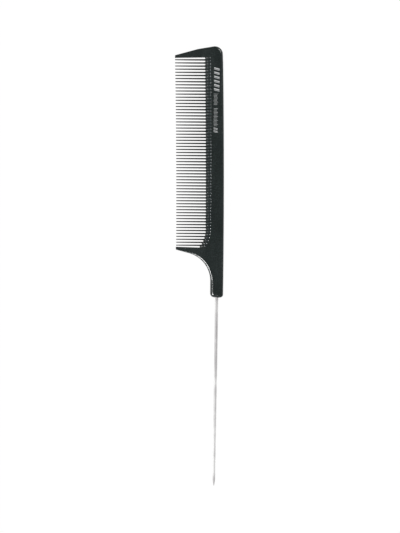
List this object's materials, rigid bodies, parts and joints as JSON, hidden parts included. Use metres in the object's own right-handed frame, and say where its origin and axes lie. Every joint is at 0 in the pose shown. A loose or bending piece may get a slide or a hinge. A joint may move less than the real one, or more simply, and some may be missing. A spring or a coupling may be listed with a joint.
{
  "type": "rat tail comb",
  "caption": "Fine-tooth styling comb in dark carbon-filled plastic with thick guard teeth, a concave heel and a slim steel pin tail for parting and sectioning hair.",
  "frame": {"origin": "middle of the bounding box, on the flat underside that the comb lies on", "axes": "+Y along the comb towards its head, so the pin points along -Y; +X towards the back, so the teeth point along -X; +Z through the thickness, upwards"},
  "size_m": [0.0256, 0.2248, 0.004],
  "materials": {
    "carbon_plastic": "satin",
    "steel": "satin",
    "print_ink": "matte"
  },
  "bodies": {
    "root": {"comb_body": "carbon_plastic", "tail_pin": "steel"}
  },
  "joints": []
}
